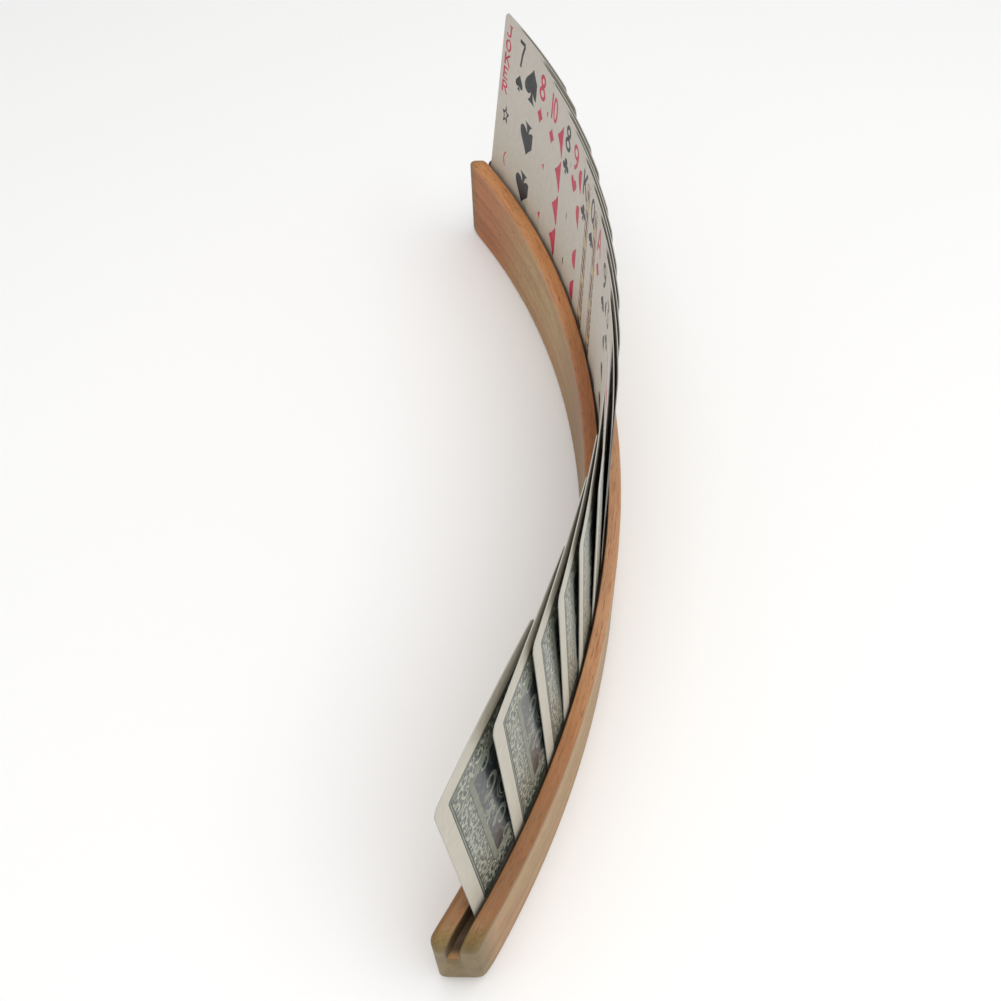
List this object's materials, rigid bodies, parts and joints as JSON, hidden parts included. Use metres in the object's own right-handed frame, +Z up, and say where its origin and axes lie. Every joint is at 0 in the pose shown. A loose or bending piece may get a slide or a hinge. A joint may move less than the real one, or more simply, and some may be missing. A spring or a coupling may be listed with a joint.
{
  "type": "playing card holder",
  "caption": "Curved wooden rack standing on edge, with a slot along its top that holds a fanned hand of playing cards upright.",
  "frame": {"origin": "middle of the rack's flat bottom face, halfway along the bend and halfway through its thickness", "axes": "+Z up; Y along the rack, from end to end; the rack bends about a vertical axis on the -X side, where the player sits, so the cards' faces look to -X and their backs to +X"},
  "size_m": [0.0663, 0.377, 0.1256],
  "materials": {
    "wood": "clear satin lacquer over fine straight grain along the bend, edges sanded round",
    "card": "coated card stock with a soft sheen: pale printed faces, dark scrollwork backs inside a pale border"
  },
  "bodies": {
    "rack": {"rack": "wood"},
    "card_01": {"card_01": "card"},
    "card_02": {"card_02": "card"},
    "card_03": {"card_03": "card"},
    "card_04": {"card_04": "card"},
    "card_05": {"card_05": "card"},
    "card_06": {"card_06": "card"},
    "card_07": {"card_07": "card"},
    "card_08": {"card_08": "card"},
    "card_09": {"card_09": "card"},
    "card_10": {"card_10": "card"},
    "card_11": {"card_11": "card"},
    "card_12": {"card_12": "card"},
    "card_13": {"card_13": "card"},
    "card_14": {"card_14": "card"},
    "card_15": {"card_15": "card"},
    "card_16": {"card_16": "card"},
    "card_17": {"card_17": "card"}
  },
  "joints": [
    {"name": "card_01_lift", "type": "slide", "parent": "rack", "child": "card_01", "axis": [-0.0771, 0.035, 0.9964], "range_m": [0, 0.1]},
    {"name": "card_02_lift", "type": "slide", "parent": "rack", "child": "card_02", "axis": [-0.0586, 0.0215, 0.998], "range_m": [0, 0.1]},
    {"name": "card_03_lift", "type": "slide", "parent": "rack", "child": "card_03", "axis": [-0.043, 0.0122, 0.999], "range_m": [0, 0.1]},
    {"name": "card_04_lift", "type": "slide", "parent": "rack", "child": "card_04", "axis": [-0.0344, 0.008, 0.9994], "range_m": [0, 0.1]},
    {"name": "card_05_lift", "type": "slide", "parent": "rack", "child": "card_05", "axis": [-0.0257, 0.0046, 0.9997], "range_m": [0, 0.1]},
    {"name": "card_06_lift", "type": "slide", "parent": "rack", "child": "card_06", "axis": [-0.0165, 0.0019, 0.9999], "range_m": [0, 0.1]},
    {"name": "card_07_lift", "type": "slide", "parent": "rack", "child": "card_07", "axis": [-0.0067, 0.0003, 1], "range_m": [0, 0.1]},
    {"name": "card_08_lift", "type": "slide", "parent": "rack", "child": "card_08", "axis": [0.0011, 0, 1], "range_m": [0, 0.1]},
    {"name": "card_09_lift", "type": "slide", "parent": "rack", "child": "card_09", "axis": [0.0084, 0.0005, 1], "range_m": [0, 0.1]},
    {"name": "card_10_lift", "type": "slide", "parent": "rack", "child": "card_10", "axis": [0.0158, 0.0017, 0.9999], "range_m": [0, 0.1]},
    {"name": "card_11_lift", "type": "slide", "parent": "rack", "child": "card_11", "axis": [0.0234, 0.0035, 0.9997], "range_m": [0, 0.1]},
    {"name": "card_12_lift", "type": "slide", "parent": "rack", "child": "card_12", "axis": [0.0323, 0.0064, 0.9995], "range_m": [0, 0.1]},
    {"name": "card_13_lift", "type": "slide", "parent": "rack", "child": "card_13", "axis": [0.0396, 0.0092, 0.9992], "range_m": [0, 0.1]},
    {"name": "card_14_lift", "type": "slide", "parent": "rack", "child": "card_14", "axis": [0.0528, 0.0155, 0.9985], "range_m": [0, 0.1]},
    {"name": "card_15_lift", "type": "slide", "parent": "rack", "child": "card_15", "axis": [0.0636, 0.0216, 0.9977], "range_m": [0, 0.1]},
    {"name": "card_16_lift", "type": "slide", "parent": "rack", "child": "card_16", "axis": [0.0841, 0.0352, 0.9958], "range_m": [0, 0.1]},
    {"name": "card_17_lift", "type": "slide", "parent": "rack", "child": "card_17", "axis": [0.097, 0.0451, 0.9943], "range_m": [0, 0.1]}
  ]
}
